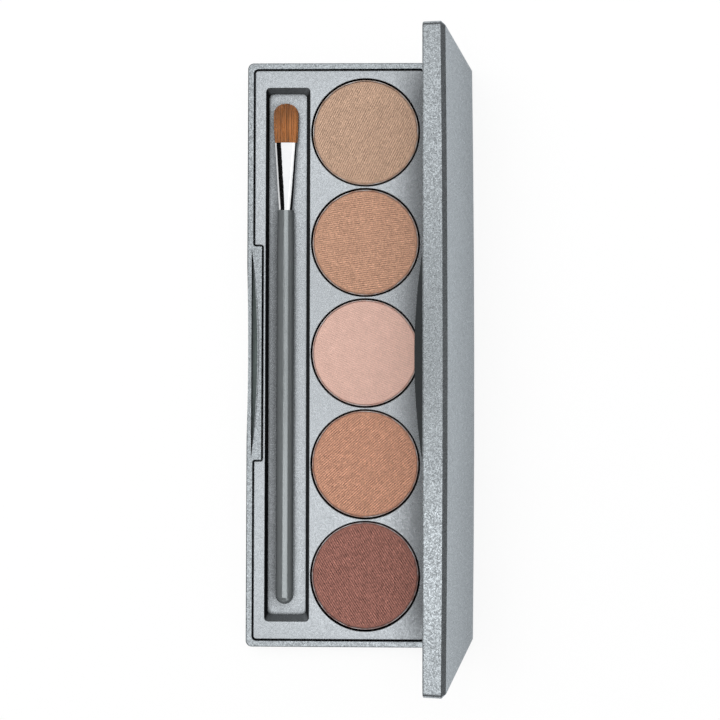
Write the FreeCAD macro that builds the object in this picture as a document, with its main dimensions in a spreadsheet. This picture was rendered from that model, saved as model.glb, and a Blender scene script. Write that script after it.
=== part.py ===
"""Slim eyeshadow palette: hinged case, tray with five round pans, trough with a brush.

Millimetres. X runs along the case, Y from the clasp (front) to the hinge (rear), Z up.
The origin is the middle of the underside of the case. The lid stands open, as in use.
"""
import FreeCAD, Part
import math
import os
import re

import Sketcher

SIZES = (
    ("pan_width", 26.0, "outside diameter of a pan"),
    ("pan_height", 4.6, "height of a pan"),
    ("pan_wall", 0.25, "sheet thickness of a pan"),
    ("pan_round", 0.5, "rounding of the foot of a pan"),
    ("pan_rim_round", 0.1, "rounding of the rim of a pan"),
    ("pan_gap", 0.41, "gap between a pan and its well"),
    ("pan_drop", 0.4, "pan rim below the top of the tray"),
    ("glue_thick", 0.2, "glue disc under a pan"),
    ("glue_width", 18.0, "diameter of a glue disc"),
    ("powder_gap", 0.05, "gap between powder and pan wall"),
    ("powder_drop", 0.25, "powder edge below the pan rim"),
    ("powder_crown", 0.3, "rise of the powder at its middle"),
    ("well_web", 0.35, "tray left between two wells"),
    ("cup_wall", 0.8, "wall and floor of a well"),
    ("tray_gap", 0.3, "gap round the tray"),
    ("tray_drop", 0.3, "tray top below the rim of the base"),
    ("tray_plate", 1.2, "thickness of the top of the tray"),
    ("tray_corner", 0.8, "corner radius of the tray"),
    ("notch_corner", 0.3, "corner radius of the tray and the clasp block where they meet"),
    ("tray_margin", 0.9, "tray left behind the wells"),
    ("tray_round", 0.25, "rounding of the outer top edges of the tray"),
    ("well_round", 0.12, "rounding of the edges of wells and trough"),
    ("trough_width", 10.9, "width of the brush trough at the top"),
    ("trough_wall", 0.55, "thinnest wall in front of the trough"),
    ("trough_web", 0.28, "tray left between trough and wells"),
    ("trough_room", 3.525, "trough left at each end of the brush, on average"),
    ("trough_margin", 3.0, "least case left at each end of the trough"),
    ("trough_front_run", 0.4, "slant of the front wall of the trough"),
    ("trough_back_run", 1.15, "slant of the rear wall of the trough"),
    ("trough_end_run", 0.65, "slant of the end walls of the trough"),
    ("trough_corner", 1.0, "corner radius of the trough"),
    ("end_margin", 3.75, "case left at each end of the row of wells"),
    ("base_wall", 1.5, "rim of the base"),
    ("base_floor", 1.2, "floor of the base"),
    ("base_corner", 1.5, "corner radius of the base"),
    ("base_round", 0.6, "rounding of the bottom edges of the base"),
    ("rim_round", 0.3, "outer rounding of the rims of base and lid"),
    ("rim_inner_round", 0.15, "inner rounding of the rim of the base"),
    ("rib_height", 1.0, "height of the ribs under the tray"),
    ("rib_width", 1.2, "width of a rib"),
    ("rib_margin", 16.5, "case left at each end of a rib"),
    ("clasp_length", 52.4, "length of the clasp block"),
    ("clasp_wall", 1.1, "wall behind the pocket"),
    ("clasp_margin", 0.85, "clasp block left at each end of the pocket"),
    ("pocket_front", 1.1, "wall in front of the pocket"),
    ("pocket_bulge", 1.45, "width of the crescent pocket at its middle"),
    ("pocket_depth", 3.3, "depth of the crescent pocket"),
    ("ledge_width", 0.5, "width of the ledge round the crescent pocket"),
    ("ledge_depth", 0.5, "depth of that ledge"),
    ("scoop_length", 44.0, "length of the thumb scoop"),
    ("scoop_depth", 0.35, "depth of the thumb scoop"),
    ("catch_thick", 0.6, "thickness of the insert in the pocket"),
    ("catch_gap", 0.05, "gap in front of that insert"),
    ("catch_slack", 0.2, "insert narrower than the pocket"),
    ("catch_inset", 1.0, "insert inside each end of the pocket"),
    ("nub_length", 5.9, "length of the snap nub"),
    ("nub_width", 0.6, "width of the snap nub"),
    ("nub_height", 0.5, "height of the snap nub"),
    ("pin_width", 1.5, "diameter of a hinge pin"),
    ("pin_length", 24.9, "length of a hinge pin"),
    ("pin_recess", 0.6, "pin end inside the end of the case"),
    ("press_gap", 0.01, "radial gap of the pin in the base"),
    ("run_gap", 0.04, "radial gap of the pin in the lid"),
    ("knuckle_radius", 2.4, "radius of a lid knuckle"),
    ("knuckle_length", 14.0, "length of a lid knuckle"),
    ("knuckle_end", 7.5, "knuckle from the end of the case"),
    ("knuckle_clear", 0.3, "clearance round a knuckle"),
    ("knuckle_side", 0.25, "clearance at each end of a knuckle"),
    ("barrel_radius", 4.1, "radius of the hinge beam of the base"),
    ("barrel_inset", 0.6, "hinge beam inside the end of the case"),
    ("barrel_gap", 0.3, "clearance round the hinge beam"),
    ("beam_wall", 1.0, "wall between a knuckle and the inside"),
    ("beam_rim", 0.3, "least rim in front of the hinge beam"),
    ("beam_back", 1.4, "rear of the base behind the hinge axis"),
    ("table_gap", 0.3, "lid above the table when fully open"),
    ("parting_gap", 0.1, "gap between closed lid and base"),
    ("lid_wall", 1.2, "skirt of the lid"),
    ("lid_plate", 1.8, "thinnest top of the lid"),
    ("lid_crown", 0.45, "rise of the lid along its length"),
    ("lid_corner", 1.2, "corner radius of the lid"),
    ("lid_bevel", 0.95, "bevel round the top of the lid"),
    ("lid_inner_corner", 0.9, "inner corner radius of the lid"),
    ("lid_open", 80.0, "opening of the lid at rest in degrees"),
    ("frame_thick", 2.6, "thickness of the mirror frame"),
    ("frame_recess", 0.4, "mirror frame inside the rim of the lid"),
    ("frame_gap", 0.2, "gap round the mirror frame"),
    ("frame_seat", 0.05, "gap between mirror frame and lid plate"),
    ("frame_bar", 4.2, "visible width of the mirror frame"),
    ("frame_ledge", 0.8, "overlap of frame and mirror"),
    ("frame_lip", 0.85, "thickness of that ledge"),
    ("lip_clear", 0.12, "gap in front of the clasp lip in its pocket"),
    ("lip_slack", 0.45, "clasp lip narrower than the pocket"),
    ("lip_inset", 2.2, "clasp lip inside each end of the pocket"),
    ("lip_drop", 1.86, "clasp lip below the rim of the lid"),
    ("mirror_thick", 1.5, "thickness of the mirror"),
    ("mirror_gap", 0.1, "gap round the mirror"),
    ("brush_gap", 0.05, "handle above the floor of the trough"),
    ("brush_front", 4.75, "brush axis behind the front of the trough"),
    ("brush_shift", 0.175, "brush off the middle of the trough"),
    ("handle_radius", 2.2, "radius of the brush handle"),
    ("handle_swell", 0.15, "handle thinner than that at the ferrule"),
    ("handle_wall", 0.25, "wall of the handle round the ferrule"),
    ("handle_taper", 9.0, "length over which the handle widens"),
    ("handle_length", 96.95, "length of the brush handle"),
    ("handle_nose", 1.9, "length of the rounded end of the handle"),
    ("ferrule_length", 16.8, "visible length of the ferrule"),
    ("ferrule_width", 5.5, "width of the ferrule at its mouth"),
    ("ferrule_flat", 2.8, "thickness of the ferrule at its mouth"),
    ("ferrule_fullness", 3.0, "squareness of that mouth, where 2 is an ellipse"),
    ("ferrule_pinch", 4.4, "length of the pinched mouth"),
    ("ferrule_tang", 8.0, "length of the ferrule inside the handle"),
    ("ferrule_wall", 0.3, "sheet thickness of the ferrule"),
    ("tang_gap", 0.05, "gap between ferrule and handle"),
    ("root_depth", 4.0, "bristles inside the ferrule"),
    ("root_gap", 0.05, "gap between bristles and ferrule"),
    ("tuft_length", 10.0, "bristles outside the ferrule"),
    ("tuft_width", 6.5, "greatest width of the bristles"),
    ("tuft_flat", 3.6, "greatest thickness of the bristles"),
)

# Sizes and places that follow from the ones above.
WORKED = {
    "well_width": "pan_width + 2 * pan_gap",
    "well_pitch": "well_width + well_web",
    "brush_length": "tuft_length + ferrule_length + handle_length",
    "trough_length": "brush_length + 2 * trough_room",
    "well_row": "5 * well_width + 4 * well_web + 2 * end_margin",
    "case_length": "max(well_row; trough_length + 2 * trough_margin)",
    "case_end": "case_length / 2",
    "clasp_depth": "pocket_front + pocket_bulge + clasp_wall",
    "trough_front": "clasp_depth + tray_gap + trough_wall",
    "hinge_inset": "barrel_radius + barrel_gap + lid_wall",
    "hinge_z": "hinge_inset + table_gap",
    "tray_under": "base_floor + rib_height",
    "tray_floor": "tray_under + cup_wall",
    "pan_z": "tray_floor + glue_thick",
    "tray_top": "pan_z + pan_height + pan_drop",
    "base_height": "tray_top + tray_drop",
    "barrel_reach": "sqrt(max(0; barrel_radius ^ 2 - (base_height - hinge_z) ^ 2))",
    "beam_front": "max(knuckle_radius + knuckle_clear + beam_wall; barrel_reach + beam_rim)",
    "well_back": "trough_front + trough_width + trough_web + well_width",
    "case_depth": "well_back + tray_margin + tray_gap + beam_front + hinge_inset",
    "front_y": "-case_depth / 2",
    "well_y": "front_y + well_back - well_width / 2",
    "hinge_y": "case_depth / 2 - hinge_inset",
    "inner_end": "case_end - base_wall",
    "inner_front": "front_y + base_wall",
    "inner_back": "hinge_y - beam_front",
    "pocket_y": "front_y + pocket_front",
    "pocket_length": "clasp_length - 2 * clasp_margin",
    "trough_y": "front_y + trough_front",
    "knuckle_far": "case_end - knuckle_end",
    "knuckle_near": "knuckle_far - knuckle_length",
    "pin_far": "case_end - pin_recess",
    "pin_near": "pin_far - pin_length",
    "rim_z": "base_height + parting_gap - hinge_z",
    "frame_z": "rim_z + frame_recess",
    "plate_z": "frame_z + frame_thick + frame_seat",
    "lid_edge_z": "plate_z + lid_plate",
    "lid_front": "-(case_depth - hinge_inset)",
    "frame_end": "case_end - lid_wall - frame_gap",
    "frame_front": "lid_front + lid_wall + frame_gap",
    "window_end": "frame_end - frame_bar",
    "window_front": "frame_front + frame_bar",
    "window_back": "-barrel_radius - frame_bar",
    "mirror_z": "frame_z + frame_lip + frame_seat",
    "catch_length": "pocket_length - 2 * catch_inset",
    "catch_bulge": "pocket_bulge - catch_slack",
    "lip_length": "pocket_length - 2 * lip_inset",
    "lip_bulge": "pocket_bulge - lip_slack",
    "lip_y": "lid_front + pocket_front + lip_clear",
    "handle_neck": "handle_radius - handle_swell",
    "socket_radius": "handle_neck - handle_wall",
    "ferrule_neck": "socket_radius - tang_gap",
    "rib_end": "case_end - rib_margin",
    "brush_y": "trough_y + brush_front",
    "brush_z": "tray_floor + handle_radius + brush_gap",
    "tip_x": "-brush_length / 2 - brush_shift",
    "mouth_x": "tip_x + tuft_length",
    "handle_x": "mouth_x + ferrule_length",
}

# Outline of the tuft from ferrule to tip, as shares of its length, width and thickness.
TUFT = (
    (0.35, 0.97, 1.0),
    (0.7, 1.0, 0.85),
    (0.9, 0.7, 0.5),
    (1.0, 0.25, 0.2),
)

PANS = (1, 2, 3, 4, 5)
PAN_X = "({} - 3) * well_pitch"
SIDES = (("left", -1), ("right", 1))

# Two places closer than this, in millimetres, are one.
CLOSE = 1e-3

doc = FreeCAD.newDocument("Palette")
sheet = doc.addObject("Spreadsheet::Sheet", "Sizes")
for row, (alias, size, meaning) in enumerate(SIZES, start=1):
    sheet.set(f"A{row}", meaning)
    sheet.set(f"B{row}", str(size))
    sheet.setAlias(f"B{row}", alias)
doc.recompute()

CELLS = {alias for alias, size, meaning in SIZES}


def sized(formula):
    """Write a formula on the names above as an expression on the sheet's cells."""
    def spelled(match):
        name = match.group()
        if name in CELLS:
            return f"Sizes.{name}"
        if name in WORKED:
            return f"({sized(WORKED[name])})"
        return name
    return re.sub(r"[a-z_]+", spelled, formula)


def number(formula):
    """The present value of a formula."""
    return float(sheet.evalExpression(sized(formula)))


def arc_radius(chord, rise):
    """Formula for the radius of an arc over a chord that rises by so much."""
    return f"(({chord}) ^ 2 / 4 + ({rise}) ^ 2) / (2 * ({rise}))"


def new_body(label):
    """An empty body, named for its sub-part."""
    body = doc.addObject("PartDesign::Body", label)
    body.Label = label
    return body


def place(piece, x="0", y="0", z="0"):
    """Tie the place of a sub-part to the sizes."""
    for axis, formula in zip("xyz", (x, y, z)):
        piece.setExpression(f"Placement.Base.{axis}", sized(formula))


def hang_on_hinge(piece):
    """Place a lid piece, drawn shut about the hinge axis, at the lid's opening."""
    piece.Placement = FreeCAD.Placement(FreeCAD.Vector(), FreeCAD.Rotation(FreeCAD.Vector(-1, 0, 0), 1))
    piece.setExpression("Placement.Rotation.Angle", sized("lid_open"))
    place(piece, y="hinge_y", z="hinge_z")


def new_sketch(body, name, plane, offset="0"):
    """A sketch on one of the body's own planes, moved along its normal."""
    sketch = body.newObject("Sketcher::SketchObject", name)
    support = next(face for face in body.Origin.OriginFeatures if face.Role == plane)
    sketch.AttachmentSupport = [(support, "")]
    sketch.MapMode = "FlatFace"
    sketch.setExpression("AttachmentOffset.Base.z", sized(offset))
    return sketch


def pin_point(sketch, edge, end, x, y):
    """Hold one end of a sketch edge at a place."""
    for kind, axis, formula in (("DistanceX", -2, x), ("DistanceY", -1, y)):
        size = number(formula)
        if abs(size) < CLOSE:
            sketch.addConstraint(Sketcher.Constraint("PointOnObject", edge, end, axis))
        else:
            held = sketch.addConstraint(Sketcher.Constraint(kind, -1, 1, edge, end, size))
            sketch.setExpression(f"Constraints[{held}]", sized(formula))


def draw_outline(sketch, points):
    """Close an outline through (x, y) points. A third entry makes the next edge an arc of that radius,
    which turns to the left and bulges to the right."""
    spots = [FreeCAD.Vector(number(point[0]), number(point[1])) for point in points]
    edges = []
    for index, point in enumerate(points):
        start, end = spots[index], spots[(index + 1) % len(spots)]
        if len(point) == 2:
            edges.append(sketch.addGeometry(Part.LineSegment(start, end)))
            continue
        radius = number(point[2])
        chord = end - start
        left = FreeCAD.Vector(-chord.y, chord.x) / chord.Length
        middle = (start + end) / 2 + left * math.sqrt(radius ** 2 - (chord.Length / 2) ** 2)
        circle = Part.Circle(middle, FreeCAD.Vector(0, 0, 1), radius)
        first, last = (math.atan2(spot.y - middle.y, spot.x - middle.x) for spot in (start, end))
        edges.append(sketch.addGeometry(Part.ArcOfCircle(circle, first, last)))
        held = sketch.addConstraint(Sketcher.Constraint("Radius", edges[-1], radius))
        sketch.setExpression(f"Constraints[{held}]", sized(point[2]))
    for index, edge in enumerate(edges):
        sketch.addConstraint(Sketcher.Constraint("Coincident", edges[index - 1], 2, edge, 1))
        pin_point(sketch, edge, 1, points[index][0], points[index][1])


def draw_box(sketch, x_low, x_high, y_low, y_high):
    """A rectangle between four formulas."""
    draw_outline(sketch, ((x_low, y_low), (x_high, y_low), (x_high, y_high), (x_low, y_high)))


def draw_circle(sketch, x, y, radius):
    """A circle about a place."""
    middle = FreeCAD.Vector(number(x), number(y))
    circle = sketch.addGeometry(Part.Circle(middle, FreeCAD.Vector(0, 0, 1), number(radius)))
    held = sketch.addConstraint(Sketcher.Constraint("Radius", circle, number(radius)))
    sketch.setExpression(f"Constraints[{held}]", sized(radius))
    pin_point(sketch, circle, 3, x, y)


def draw_crescent(sketch, y, chord, bulge):
    """A straight edge along X with an arc behind it."""
    half = f"({chord}) / 2"
    draw_outline(sketch, ((f"-{half}", y), (half, y, arc_radius(chord, bulge))))


def add_pad(body, sketch, length, both_ways=False, backwards=False):
    """Raise a sketch into a solid."""
    pad = body.newObject("PartDesign::Pad", f"{sketch.Name}_pad")
    pad.Profile = sketch
    pad.setExpression("Length", sized(length))
    pad.SideType = "Symmetric" if both_ways else "One side"
    pad.Reversed = backwards
    return pad


def add_pocket(body, sketch, length=None, both_ways=False, upwards=False):
    """Cut a sketch out of the body, through all of it unless a length is given."""
    doc.recompute()
    before = body.Shape.Volume
    pocket = body.newObject("PartDesign::Pocket", f"{sketch.Name}_pocket")
    pocket.Profile = sketch
    pocket.Type = "ThroughAll" if length is None else "Length"
    if length is not None:
        pocket.setExpression("Length", sized(length))
    pocket.SideType = "Symmetric" if both_ways else "One side"
    pocket.Reversed = upwards
    doc.recompute()
    if body.Shape.Volume > before - CLOSE:
        raise RuntimeError(f"{pocket.Name} cuts nothing")
    return pocket


def round_edges(body, name, radius, wanted, kind="Fillet"):
    """Round or bevel the edges of the body that pass a test on their box."""
    doc.recompute()
    base = body.Tip
    edges = [f"Edge{count}" for count, edge in enumerate(base.Shape.Edges, start=1) if wanted(edge.BoundBox)]
    if not edges:
        raise RuntimeError(f"{name} finds no edge")
    rounding = body.newObject(f"PartDesign::{kind}", name)
    rounding.Base = (base, edges)
    rounding.setExpression("Radius" if kind == "Fillet" else "Size", sized(radius))
    doc.recompute()


def near(value, formula):
    """Whether a coordinate is at a place."""
    return abs(value - number(formula)) < CLOSE


def upright(box):
    """Whether an edge's box stands along Z."""
    return box.XLength < CLOSE and box.YLength < CLOSE


def level(box, formula):
    """Whether an edge's box lies flat at a height."""
    return near(box.ZMin, formula) and near(box.ZMax, formula)


def revolve(body, sketch, axis):
    """Turn a sketch once round one of its axes."""
    turned = body.newObject("PartDesign::Revolution", f"{sketch.Name}_turned")
    turned.Profile = sketch
    turned.ReferenceAxis = (sketch, [axis])
    turned.Angle = 360


def make_base_shell():
    """Lower half of the case, with clasp block, crescent pocket and hinge beam."""
    body = new_body("base_shell")
    block = new_sketch(body, "block", "XY_Plane")
    draw_box(block, "-case_end", "case_end", "front_y", "hinge_y + beam_back")
    add_pad(body, block, "base_height")
    round_edges(body, "front_corners", "base_corner", lambda box: upright(box) and near(box.YMin, "front_y"))
    round_edges(body, "bottom_edges", "base_round", lambda box: level(box, "0"))
    round_edges(
        body, "rim_edges", "rim_round",
        lambda box: level(box, "base_height") and not near(box.YMin, "hinge_y + beam_back"))

    beam = new_sketch(body, "beam", "YZ_Plane")
    draw_circle(beam, "hinge_y", "hinge_z", "barrel_radius")
    add_pad(body, beam, "case_length - 2 * barrel_inset", both_ways=True)

    inside = new_sketch(body, "inside", "XY_Plane", "base_floor")
    block_end, block_back = "clasp_length / 2", "front_y + clasp_depth"
    draw_outline(inside, (
        ("-inner_end", "inner_front"), (f"-{block_end}", "inner_front"),
        (f"-{block_end}", block_back), (block_end, block_back),
        (block_end, "inner_front"), ("inner_end", "inner_front"),
        ("inner_end", "inner_back"), ("-inner_end", "inner_back")))
    add_pocket(body, inside, upwards=True)
    round_edges(body, "block_corners", "notch_corner",
                lambda box: upright(box) and near(box.YMin, block_back))
    round_edges(body, "notch_corners", "notch_corner + tray_gap",
                lambda box: upright(box) and near(box.YMin, "inner_front") and near(abs(box.XMin), block_end))
    round_edges(body, "inside_corners", "tray_corner + tray_gap",
                lambda box: upright(box) and near(abs(box.XMin), "inner_end"))
    round_edges(
        body, "inner_rim_edges", "rim_inner_round",
        lambda box: level(box, "base_height") and box.YMin > number("inner_front") - CLOSE
        and box.YMax < number("inner_back") + CLOSE and box.XMax < number("inner_end") + CLOSE)

    ribs = new_sketch(body, "ribs", "XY_Plane", "base_floor")
    for middle in ("trough_y + trough_width / 2", "well_y"):
        draw_box(ribs, "-rib_end", "rib_end",
                 f"{middle} - rib_width / 2", f"{middle} + rib_width / 2")
    add_pad(body, ribs, "rib_height")

    slots = new_sketch(body, "slots", "XY_Plane", "hinge_z - knuckle_radius - knuckle_clear")
    for name, side in SIDES:
        draw_box(slots, f"{side} * (knuckle_near - knuckle_side)", f"{side} * (knuckle_far + knuckle_side)",
                 "hinge_y - knuckle_radius - knuckle_clear", "case_depth / 2")
    add_pocket(body, slots, upwards=True)

    for name, side in SIDES:
        bore = new_sketch(body, f"bore_{name}", "YZ_Plane", f"{side} * pin_near")
        draw_circle(bore, "hinge_y", "hinge_z", "pin_width / 2 + press_gap")
        add_pocket(body, bore, upwards=side > 0)

    crescent = new_sketch(body, "crescent", "XY_Plane", "base_height")
    draw_crescent(crescent, "pocket_y", "pocket_length", "pocket_bulge")
    add_pocket(body, crescent, "pocket_depth")
    ledge = new_sketch(body, "ledge", "XY_Plane", "base_height")
    draw_crescent(ledge, "pocket_y", "pocket_length + 2 * ledge_width", "pocket_bulge + ledge_width")
    add_pocket(body, ledge, "ledge_depth")

    scoop = new_sketch(body, "scoop", "XY_Plane", "base_height")
    draw_crescent(scoop, "front_y", "scoop_length", "scoop_depth")
    add_pocket(body, scoop)
    return body


def make_front_catch():
    """Dark insert at the bottom of the crescent pocket, with the snap nub."""
    body = new_body("front_catch")
    floor = "base_height - pocket_depth"
    front = "pocket_y + catch_gap"
    nub_back = f"{front} + catch_bulge - catch_gap"
    insert = new_sketch(body, "insert", "XY_Plane", floor)
    draw_crescent(insert, front, "catch_length", "catch_bulge")
    add_pad(body, insert, "catch_thick")
    nub = new_sketch(body, "nub", "XY_Plane", f"{floor} + catch_thick / 2")
    draw_box(nub, "-nub_length / 2", "nub_length / 2", f"{nub_back} - nub_width", nub_back)
    add_pad(body, nub, "catch_thick / 2 + nub_height")
    return body


def make_insert_tray():
    """Tray with the five wells and the brush trough."""
    body = new_body("insert_tray")
    end, front, back = "inner_end - tray_gap", "inner_front + tray_gap", "inner_back - tray_gap"
    notch_end, notch_back = "clasp_length / 2 + tray_gap", "front_y + clasp_depth + tray_gap"
    plate = new_sketch(body, "plate", "XY_Plane", "tray_top - tray_plate")
    draw_outline(plate, (
        (f"-({end})", front), (f"-({notch_end})", front), (f"-({notch_end})", notch_back),
        (notch_end, notch_back), (notch_end, front), (end, front), (end, back), (f"-({end})", back)))
    add_pad(body, plate, "tray_plate")
    round_edges(body, "notch_inner_corners", "notch_corner + tray_gap",
                lambda box: upright(box) and near(box.YMin, notch_back))
    round_edges(body, "notch_outer_corners", "notch_corner",
                lambda box: upright(box) and near(box.YMin, front) and near(abs(box.XMin), notch_end))
    round_edges(body, "tray_corners", "tray_corner",
                lambda box: upright(box) and near(abs(box.XMin), end))
    round_edges(body, "tray_edges", "tray_round", lambda box: level(box, "tray_top"))

    for pan in PANS:
        cup = new_sketch(body, f"cup_{pan}", "XY_Plane", "tray_under")
        draw_circle(cup, PAN_X.format(pan), "well_y", "well_width / 2 + cup_wall")
        add_pad(body, cup, "tray_top - tray_plate / 2 - tray_under")
    box = new_sketch(body, "box", "XY_Plane", "tray_under")
    draw_box(box, "-trough_length / 2 - cup_wall", "trough_length / 2 + cup_wall",
             notch_back, "trough_y + trough_width + trough_web")
    add_pad(body, box, "tray_top - tray_plate / 2 - tray_under")

    for pan in PANS:
        well = new_sketch(body, f"well_{pan}", "XY_Plane", "tray_top")
        draw_circle(well, PAN_X.format(pan), "well_y", "well_width / 2")
        add_pocket(body, well, "tray_top - tray_floor")
    mouth = new_sketch(body, "trough_mouth", "XY_Plane", "tray_top")
    draw_box(mouth, "-trough_length / 2", "trough_length / 2", "trough_y", "trough_y + trough_width")
    bed = new_sketch(body, "trough_bed", "XY_Plane", "tray_floor")
    bed_end = "trough_length / 2 - trough_end_run"
    draw_box(bed, f"-({bed_end})", bed_end,
             "trough_y + trough_front_run", "trough_y + trough_width - trough_back_run")
    trough = body.newObject("PartDesign::SubtractiveLoft", "trough")
    trough.Profile = mouth
    trough.Sections = [(bed, "")]
    trough.Ruled = True
    doc.recompute()

    def slanted_corner(box):
        """An edge between two sloping walls of the trough."""
        deep = box.ZLength > number("tray_top - tray_floor") - CLOSE
        slanted = CLOSE < box.XLength < box.ZLength and CLOSE < box.YLength < box.ZLength
        return deep and slanted and box.YMax < number("trough_y + trough_width") + CLOSE
    round_edges(body, "trough_corners", "trough_corner", slanted_corner)
    round_edges(
        body, "well_edges", "well_round",
        lambda box: level(box, "tray_top") and box.YMin > number("trough_y") - CLOSE
        and box.YMax < number("front_y + well_back") + CLOSE)
    return body


def make_pan(pan):
    """One drawn metal pan."""
    body = new_body(f"pan_{pan}")
    cut = new_sketch(body, f"pan_section_{pan}", "XZ_Plane")
    outer, inner = "pan_width / 2", "pan_width / 2 - pan_wall"
    draw_outline(cut, (
        ("0", "0"), (outer, "0"), (outer, "pan_height"),
        (inner, "pan_height"), (inner, "pan_wall"), ("0", "pan_wall")))
    revolve(body, cut, "V_Axis")
    round_edges(body, f"pan_foot_{pan}", "pan_round", lambda box: level(box, "0"))
    round_edges(body, f"pan_rim_{pan}", "pan_rim_round", lambda box: level(box, "pan_height"))
    place(body, PAN_X.format(pan), "well_y", "pan_z")
    return body


def make_powder(pan):
    """One pressed powder cake, slightly crowned."""
    body = new_body(f"powder_{pan}")
    cut = new_sketch(body, f"powder_section_{pan}", "XZ_Plane")
    edge, side = "pan_width / 2 - pan_wall - powder_gap", "pan_height - pan_wall - powder_drop"
    draw_outline(cut, (
        ("0", "0"), (edge, "0"), (edge, side, arc_radius(f"2 * ({edge})", "powder_crown")),
        ("0", f"{side} + powder_crown")))
    revolve(body, cut, "V_Axis")
    place(body, PAN_X.format(pan), "well_y", "pan_z + pan_wall")
    return body


def make_pan_adhesive():
    """The five glue discs under the pans."""
    discs = []
    for pan in PANS:
        disc = doc.addObject("Part::Cylinder", f"glue_disc_{pan}")
        disc.setExpression("Radius", sized("glue_width / 2"))
        disc.setExpression("Height", sized("glue_thick"))
        place(disc, PAN_X.format(pan), "well_y", "tray_floor")
        discs.append(disc)
    group = doc.addObject("Part::Compound", "pan_adhesive")
    group.Label = "pan_adhesive"
    group.Links = discs
    return group


def make_hinge_pin(name, side):
    """One steel pin, pushed in from the end of the base."""
    pin = doc.addObject("Part::Cylinder", f"hinge_pin_{name}")
    pin.Label = f"hinge_pin_{name}"
    pin.setExpression("Radius", sized("pin_width / 2"))
    pin.setExpression("Height", sized("pin_length"))
    pin.Placement.Rotation = FreeCAD.Rotation(FreeCAD.Vector(0, 1, 0), 90)
    place(pin, "pin_near" if side > 0 else "-pin_far", "hinge_y", "hinge_z")
    return pin


def make_lid_shell():
    """Upper half of the case, with its two hinge knuckles, drawn shut about the hinge axis."""
    body = new_body("lid_shell")
    top = new_sketch(body, "lid_side", "XZ_Plane", "-hinge_inset")
    draw_outline(top, (
        ("-case_end", "rim_z"), ("case_end", "rim_z"),
        ("case_end", "lid_edge_z", arc_radius("case_length", "lid_crown")), ("-case_end", "lid_edge_z")))
    add_pad(body, top, "case_depth")
    round_edges(body, "lid_corners", "lid_corner", upright)
    round_edges(
        body, "lid_edges", "lid_bevel",
        lambda box: box.ZMin > number("lid_edge_z") - CLOSE, kind="Chamfer")
    round_edges(body, "lid_rim_edges", "rim_round", lambda box: level(box, "rim_z"))

    hollow = new_sketch(body, "hollow", "XY_Plane", "rim_z")
    draw_box(hollow, "-(case_end - lid_wall)", "case_end - lid_wall",
             "lid_front + lid_wall", "hinge_inset - lid_wall")
    add_pocket(body, hollow, "plate_z - rim_z", upwards=True)
    round_edges(
        body, "hollow_corners", "lid_inner_corner",
        lambda box: upright(box) and near(box.ZMax, "plate_z"))

    notch = new_sketch(body, "notch", "YZ_Plane")
    draw_circle(notch, "0", "0", "barrel_radius + barrel_gap")
    add_pocket(body, notch, both_ways=True)

    for name, side in SIDES:
        knuckle = new_sketch(body, f"knuckle_{name}", "YZ_Plane", f"{side} * knuckle_near")
        draw_circle(knuckle, "0", "0", "knuckle_radius")
        web = new_sketch(body, f"web_{name}", "YZ_Plane", f"{side} * knuckle_near")
        draw_box(web, "-knuckle_radius", "knuckle_radius", "0", "plate_z + lid_plate / 2")
        add_pad(body, web, "knuckle_length", backwards=side < 0)
        add_pad(body, knuckle, "knuckle_length", backwards=side < 0)
    bore = new_sketch(body, "knuckle_bore", "YZ_Plane")
    draw_circle(bore, "0", "0", "pin_width / 2 + run_gap")
    add_pocket(body, bore, both_ways=True)
    hang_on_hinge(body)
    return body


def make_mirror_frame():
    """Dark inner frame of the lid, with the clasp lip."""
    body = new_body("mirror_frame")
    edge = new_sketch(body, "frame_edge", "XY_Plane", "frame_z")
    draw_box(edge, "-frame_end", "frame_end", "frame_front", "-barrel_radius")
    add_pad(body, edge, "frame_thick")
    round_edges(body, "frame_corners", "lid_inner_corner - frame_gap",
                lambda box: upright(box) and near(box.YMin, "frame_front"))

    lip = new_sketch(body, "lip", "XY_Plane", "rim_z - lip_drop")
    draw_crescent(lip, "lip_y", "lip_length", "lip_bulge")
    add_pad(body, lip, "lip_drop + frame_recess + frame_thick / 2")
    half, far = "lip_length / 2", "lip_length / 2 + lip_drop"
    trim = new_sketch(body, "lip_trim", "XZ_Plane")
    draw_outline(trim, (
        (f"-({half})", "rim_z", arc_radius("lip_length", "lip_drop")), (half, "rim_z"), (far, "rim_z"),
        (far, "rim_z - 2 * lip_drop"), (f"-({far})", "rim_z - 2 * lip_drop"), (f"-({far})", "rim_z")))
    add_pocket(body, trim, both_ways=True)

    window = new_sketch(body, "window", "XY_Plane", "frame_z")
    draw_box(window, "-window_end", "window_end", "window_front", "window_back")
    add_pocket(body, window, upwards=True)
    seat = new_sketch(body, "mirror_seat", "XY_Plane", "frame_z + frame_lip")
    draw_box(seat, "-(window_end + frame_ledge)", "window_end + frame_ledge",
             "window_front - frame_ledge", "window_back + frame_ledge")
    add_pocket(body, seat, upwards=True)
    hang_on_hinge(body)
    return body


def make_mirror_sheet(label, low, high):
    """A flat sheet that fills the mirror's seat between two heights."""
    body = new_body(label)
    outline = new_sketch(body, f"{label}_outline", "XY_Plane", low)
    inset = "frame_ledge - mirror_gap"
    draw_box(outline, f"-(window_end + {inset})", f"window_end + {inset}",
             f"window_front - ({inset})", f"window_back + {inset}")
    add_pad(body, outline, f"({high}) - ({low})")
    hang_on_hinge(body)
    return body


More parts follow.
